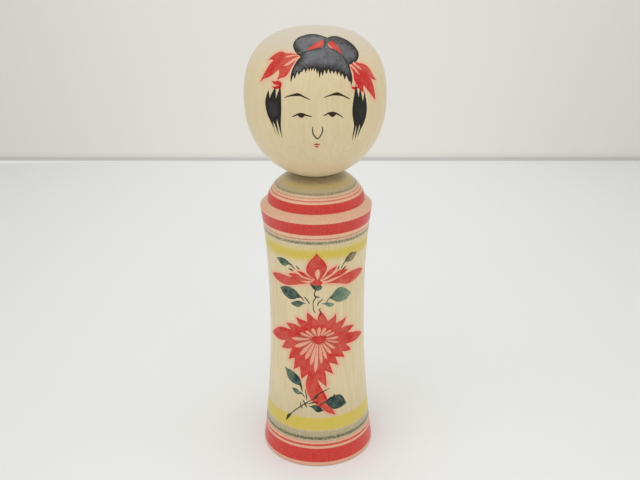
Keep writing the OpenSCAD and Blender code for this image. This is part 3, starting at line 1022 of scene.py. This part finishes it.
DAISY = outline(
    [(1.9, 96.4), (4.2, 93.6), (5.3, 91.2)], [(5.9, 90.2), (7.6, 91.3), (9, 92.3)],
    [(9.9, 94.1), (10.3, 92), (10.3, 90)], [(10.1, 88.2), (12, 88.7), (14, 89.3)],
    [(15.6, 90.3), (15.1, 88.4), (14.4, 86.6), (13.5, 85.2)], [(13, 84.4), (15.5, 84.7), (18, 84.2)],
    [(20.1, 83.2), (18.8, 82), (17.7, 81.2)], [(16.7, 80.3), (19.5, 79.3), (22, 77.9), (23.7, 76.3)],
    [(24.8, 74.7), (23.4, 73.7), (21, 73.2), (18, 73.4)], [(15.5, 73.7), (16.8, 72), (17.8, 70.6)],
    [(18.3, 69), (17, 69), (15.5, 69.3)], [(13.5, 69.9), (14, 68.4), (14.5, 67.2)],
    [(14.8, 65.9), (12.8, 66.8), (11.2, 67.2)], [(9.8, 67.6), (10.4, 65.8), (10.9, 64)],
    [(11.4, 62.1), (9.2, 63.5), (7.6, 64.1)], [(6.3, 64.9), (7.2, 62.2), (7.9, 59.8)],
    [(8.7, 57.1), (7.2, 58.2), (5.6, 59.2)], [(3.8, 60.1), (4.5, 57.5), (4.8, 54)],
    [(5, 49.9), (3.5, 51.3), (2, 52.8)],
    [(-0.1, 54.9), (1.2, 51.2), (2.6, 48.2), (4.2, 45.3), (5.1, 42.8), (5.6, 41), (6.8, 37.8), (8.4, 34.8)],
     [(9.9, 31.7), (7.5, 32.9), (5.2, 33.9), (3.6, 35.4), (2.2, 36.8), (0.6, 38), (-1, 39.3), (-2.6, 40.7),
     (-4.1, 42.7), (-5.5, 45.5), (-6.4, 48.5), (-6.6, 51.2), (-6.1, 54.2), (-5.5, 56.5)],
    [(-5.2, 57.9), (-6.4, 56.8), (-7.6, 55.6)], [(-8.8, 54), (-9.3, 57), (-9.5, 59.5)],
    [(-9.9, 61.9), (-10.9, 60.8), (-12, 60.1)], [(-13.1, 59), (-12.9, 61.5), (-12.6, 64)],
    [(-12.4, 66.4), (-13.6, 65.9), (-14.6, 65.4)], [(-15.8, 64.3), (-15.3, 67), (-14.7, 69.5)],
    [(-13.9, 72.1), (-15.8, 71), (-17.8, 70.5)], [(-19.5, 70), (-18.8, 72), (-18, 74)],
    [(-17.1, 75.9), (-19, 74.8), (-21.5, 74.2), (-23.3, 74.4)],
    [(-24.8, 75.2), (-23.9, 77.5), (-22.5, 80), (-20.5, 82.1), (-18, 83.2), (-15.8, 83.3)],
    [(-14.2, 83.4), (-15.3, 84.8)], [(-16.8, 86.4), (-14.5, 87.1), (-12, 87.2), (-10.2, 86.6)],
    [(-8.6, 86), (-9.8, 87.8), (-10.6, 89.6)], [(-11.3, 91.7), (-8.8, 90.9), (-6.8, 90.3)],
    [(-5.1, 89.9), (-5.4, 91.5), (-5.5, 93.5)], [(-5.2, 95.5), (-3.5, 94.1), (-1.8, 92.4)],
    [(0.2, 90.9), (0.4, 92.4), (0.9, 94.4)],
)
DAISY_HEART = outline(
    [(-3.1, 80.5), (-1.6, 81.1), (1.5, 81.3)],
    [(5.1, 81.3), (4.3, 79), (2.6, 77.3), (0.8, 76.7), (-0.9, 77.4), (-2.2, 79)],
)
# Pale inner petals as (base x, base z, tip x, tip z, width)
DAISY_RAYS = (
    (0.7, 81.3, 1.2, 86.7, 1.8), (1.9, 81.8, 4.5, 86.2, 1.5), (2.5, 81.7, 7.6, 84.6, 1.15),
    (3.2, 80.9, 9.5, 82.6, 1.1), (4.9, 79.5, 11.6, 79.3, 1.25), (5.0, 78.5, 12.0, 76.0, 0.75),
    (4.3, 77.6, 9.6, 72.6, 1.3), (3.0, 76.9, 7.5, 69.9, 1.5), (2.1, 76.5, 4.9, 67.0, 1.5),
    (1.4, 76.2, 2.2, 64.6, 1.5),
    (0.3, 76.3, -1.2, 59.2, 1.7), (-0.5, 76.6, -3.7, 63.6, 1.8), (-1.6, 77.0, -6.5, 66.9, 2.0),
    (-2.6, 77.6, -9.4, 69.0, 1.8), (-3.4, 78.3, -12.3, 73.4, 1.9), (-4.2, 79.5, -13.8, 78.2, 1.7),
    (-2.9, 80.4, -9.3, 82.7, 1.3), (-1.9, 81.0, -6.2, 84.4, 1.4), (-0.5, 81.5, -2.7, 86.0, 1.6),
)


def ray(base_x, base_z, tip_x, tip_z, width):
    """One pale inner petal, which widens from the flower's heart towards its tip."""
    shares = ((0.0, 0.35), (0.25, 0.72), (0.55, 1.05), (0.78, 1.1), (0.92, 0.7), (1.0, 0.15))
    return stroke(*(
        (base_x + (tip_x - base_x) * along, base_z + (tip_z - base_z) * along, width * share)
        for along, share in shares
    ))


def ray_gaps(reach=0.8):
    """The dull red patch below the pale rays, which shows between them."""
    around = sorted(DAISY_RAYS, key=lambda ray: math.atan2(ray[3] - 79, ray[2] - 1))
    return [(base_x + (tip_x - base_x) * reach, base_z + (tip_z - base_z) * reach)
            for base_x, base_z, tip_x, tip_z, _ in around]


# ---------------------------------------------------------------- operators


class KOKESHI_OT_body(bpy.types.Operator):
    """Turn the body with its dome, socket and painted rings"""

    bl_idname = "kokeshi.body"
    bl_label = "Turn body"

    def execute(self, context):
        piece = turned("body_wood", body_profile())
        piece.data.materials.append(wood_material("body_timber", BODY_PITH, 2.6, 0.72, BODY_RINGS))
        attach(piece, "body")
        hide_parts("body")
        return {"FINISHED"}


class KOKESHI_OT_head(bpy.types.Operator):
    """Turn the head with its neck tenon"""

    bl_idname = "kokeshi.head"
    bl_label = "Turn head"

    def execute(self, context):
        piece = turned("head_wood", head_profile())
        # The head greys above 224 mm with a painted sheen
        piece.data.materials.append(wood_material("head_timber", HEAD_PITH, 2.2, 0.5, crown_sheen=(224, 240, 0.55)))
        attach(piece, "head")
        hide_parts("head")
        return {"FINISHED"}


class KOKESHI_OT_hair(bpy.types.Operator):
    """Paint the bun, the fringe and the side locks"""

    bl_idname = "kokeshi.hair"
    bl_label = "Paint hair"

    def execute(self, context):
        painted("hair_bun", [HAIR], "head", "bun_wash", 0.05, ((0.12, 0.06),))
        painted("side_locks", [LEFT_LOCK, RIGHT_LOCK], "head", "black_ink", 0.08, (-0.05, -0.16))
        return {"FINISHED"}


class KOKESHI_OT_ribbons(bpy.types.Operator):
    """Paint the red ribbons in the hair"""

    bl_idname = "kokeshi.ribbons"
    bl_label = "Paint ribbons"

    def execute(self, context):
        painted("bun_ribbons", BUN_RIBBONS, "head", "red_dye", 0.09, (0.5,))
        painted("bun_lines", BUN_LINES, "head", "black_ink", 0.07, (0.34,))
        painted("bun_glints", BUN_GLINTS, "head", "bare_slits", 0.11)
        painted("side_ribbons", [LEFT_RIBBONS, RIGHT_RIBBONS], "head", "red_dye", 0.04, (0.48, 0.24))
        painted("lock_ties", LOCK_TIES, "head", "red_dye", 0.06, (0.3,))
        painted("ribbon_slits", LEFT_SLITS + RIGHT_SLITS, "head", "bare_slits", 0.06, (0.25,))
        return {"FINISHED"}


class KOKESHI_OT_face(bpy.types.Operator):
    """Paint the brows, eyes, nose and mouth"""

    bl_idname = "kokeshi.face"
    bl_label = "Paint face"

    def execute(self, context):
        painted("brows", BROWS, "head", "face_ink", 0.04)
        painted("eyelids", LIDS, "head", "face_ink", 0.04)
        painted("pupils", PUPILS, "head", "face_ink", 0.05)
        painted("nose", NOSE, "head", "face_ink", 0.04, (0.15,))
        painted("mouth", MOUTH, "head", "lip_red", 0.04)
        return {"FINISHED"}


class KOKESHI_OT_flowers(bpy.types.Operator):
    """Paint the lily and the daisy"""

    bl_idname = "kokeshi.flowers"
    bl_label = "Paint flowers"

    def execute(self, context):
        painted("lily", LILY, "body", "red_dye", 0.04, LILY_TONES)
        painted("lily_slit", [LILY_SLIT], "body", "bare_slits", 0.06, (0.3,))
        painted("daisy", [DAISY], "body", "red_dye", 0.04, (0.4,))
        painted("daisy_shade", [ray_gaps()], "body", "lip_red", 0.055, (0.6,))
        painted("daisy_rays", [ray(*sizes) for sizes in DAISY_RAYS], "body", "bare_slits", 0.07, (0.12,))
        painted("daisy_heart", [DAISY_HEART], "body", "red_dye", 0.085, (0.24,))
        return {"FINISHED"}


class KOKESHI_OT_leaves(bpy.types.Operator):
    """Paint the leaves, buds and stems"""

    bl_idname = "kokeshi.leaves"
    bl_label = "Paint leaves"

    def execute(self, context):
        painted("leaves", LEAVES, "body", "leaf_green", 0.08, LEAF_TONES)
        painted("calyx", [CALYX], "body", "leaf_green", 0.06, (0.1,))
        painted("pale_bud", [PALE_BUD], "body", "bud_wash", 0.05, ((0.3, 0.34),))
        painted("stems", STEMS, "body", "stem_ink", 0.1, (0.15,))
        return {"FINISHED"}


class KOKESHI_OT_creep(bpy.types.Operator):
    """Stain the wood next to the red paint"""

    bl_idname = "kokeshi.creep"
    bl_label = "Stain wood"

    def execute(self, context):
        objects = bpy.data.objects
        creep(objects["body_wood"], {"lily": 2.5, "daisy": 2.5})
        creep(objects["head_wood"], {"side_ribbons": 2.4, "lock_ties": 1.8, "mouth": 1.1})
        return {"FINISHED"}


SENSOR_WIDTH = 36  # mm
VIEW_SHIFT = (0.0056, 0.0008)
LAMP_TARGET = (0, 0, 0.12)
# Lamps as (name, place in metres, size in metres, watts)
SOFT_LAMPS = (
    ("front_lamp", (0, -0.6, 1.4), 1.0, 1.8),
    ("left_lamp", (-0.7, -0.6, 1.2), 0.9, 2.2),
    ("right_lamp", (0.7, -0.6, 1.2), 0.9, 0.6),
    ("back_lamp", (0, 0.4, 1.5), 1.0, 1.5),
    ("side_lamp", (1.4, -0.1, 0.7), 1.0, 1.5),
)


def backdrop(name, size, place, turned_to, shade, foot=None):
    """A plain matt plane behind or below the doll. Painted shade darkens it to the sides, and just above its foot.
    """
    bpy.ops.mesh.primitive_plane_add(size=1, location=place, rotation=turned_to)
    plane = bpy.context.object
    plane.name = name
    plane.scale = (*size, 1)
    bpy.ops.object.transform_apply(location=False, rotation=False, scale=True)
    surface, w, shader = new_material(f"{name}_paint")
    at = w.node("ShaderNodeTexCoord").outputs["Object"]
    split = w.node("ShaderNodeSeparateXYZ", {"Vector": at}).outputs
    # Painted shade: darker towards the sides
    sides = w.ramp(w.math("ABSOLUTE", split["X"]), 0.05, 0.5, 0.0, 0.3)
    tone = w.math("MULTIPLY_ADD", w.noise(at, 6.0, 3.0), 0.04, sides)
    # Painted shade: the wall darker just above the floor
    if foot is not None:
        tone = w.math("ADD", tone, w.ramp(split["Y"], foot, foot + 12 * MM, 0.25, 0.0))
    w.feed(shader.inputs["Base Color"], w.mix(tone, shade, (0.4, 0.4, 0.4)))
    shader.inputs["Roughness"].default_value = 0.7
    plane.data.materials.append(surface)


class KOKESHI_OT_stage(bpy.types.Operator):
    """Set the floor, the wall, the lights and the camera"""

    bl_idname = "kokeshi.stage"
    bl_label = "Set stage"

    def execute(self, context):
        s = stage_settings()
        scene = context.scene
        scene.view_settings.view_transform = "Standard"
        deselect_all()
        upright = (math.pi / 2, 0, s.wall_turn)
        backdrop("floor", (2, 2), (0, s.wall_distance - 1, 0), (0, 0, 0), srgb(244, 246, 246))
        backdrop("wall", (3, 3), (0, s.wall_distance, 1.5), upright, srgb(242, 240, 234), foot=-1.5)
        # Painted shadow: a grey strip along the foot of the wall, where it meets the floor
        backdrop("wall_gap", (3, s.gap), (0, s.wall_distance - MM, s.gap / 2), upright, srgb(212, 211, 208))
        world = bpy.data.worlds.new("studio")
        world.use_nodes = True
        sky = world.node_tree.nodes["Background"].inputs
        sky["Color"].default_value, sky["Strength"].default_value = (1, 0.995, 0.985, 1), s.daylight
        scene.world = world
        for name, place, size, watts in SOFT_LAMPS:
            light = bpy.data.lights.new(name, "AREA")
            light.size, light.energy = size, watts * s.lamp_power
            lamp = bpy.data.objects.new(name, light)
            lamp.location = place
            aim = Vector(LAMP_TARGET) - lamp.location
            lamp.rotation_euler = aim.to_track_quat("-Z", "Y").to_euler()
            context.collection.objects.link(lamp)
        data = bpy.data.cameras.new("camera")
        data.lens, data.sensor_width = s.lens, SENSOR_WIDTH
        data.shift_x, data.shift_y = VIEW_SHIFT
        data.clip_start = 0.01
        camera = bpy.data.objects.new("camera", data)
        camera.matrix_world = (
            Matrix.Translation((0, -s.eye_distance, s.eye_height))
            @ Matrix.Rotation(math.pi / 2 - s.tilt, 4, "X")
            @ Matrix.Rotation(s.roll, 4, "Z")
        )
        context.collection.objects.link(camera)
        scene.camera = camera
        return {"FINISHED"}


class KOKESHI_PT_panel(bpy.types.Panel):
    """Lists the steps that make the doll"""

    bl_idname = "KOKESHI_PT_panel"
    bl_label = "Kokeshi"
    bl_space_type = "VIEW_3D"
    bl_region_type = "UI"
    bl_category = "Kokeshi"

    def draw(self, context):
        for operator in OPERATORS:
            self.layout.operator(operator.bl_idname)


SETTINGS = (
    ("kokeshi_turning", KokeshiTurning),
    ("kokeshi_colours", KokeshiColours),
    ("kokeshi_stage", KokeshiStage),
)
OPERATORS = (
    KOKESHI_OT_body, KOKESHI_OT_head, KOKESHI_OT_hair, KOKESHI_OT_ribbons, KOKESHI_OT_face, KOKESHI_OT_flowers,
    KOKESHI_OT_leaves, KOKESHI_OT_creep, KOKESHI_OT_stage,
)


def register():
    for _, settings in SETTINGS:
        bpy.utils.register_class(settings)
    for name, settings in SETTINGS:
        setattr(bpy.types.Scene, name, PointerProperty(type=settings))
    for operator in OPERATORS:
        bpy.utils.register_class(operator)
    bpy.utils.register_class(KOKESHI_PT_panel)


def unregister():
    bpy.utils.unregister_class(KOKESHI_PT_panel)
    for operator in reversed(OPERATORS):
        bpy.utils.unregister_class(operator)
    for name, settings in reversed(SETTINGS):
        delattr(bpy.types.Scene, name)
        bpy.utils.unregister_class(settings)


def main():
    register()
    make_grain_group()
    make_wash_group()
    make_ring_group()
    for operator in OPERATORS:
        group, step = operator.bl_idname.split(".")
        getattr(getattr(bpy.ops, group), step)()


if __name__ == "__main__":
    main()
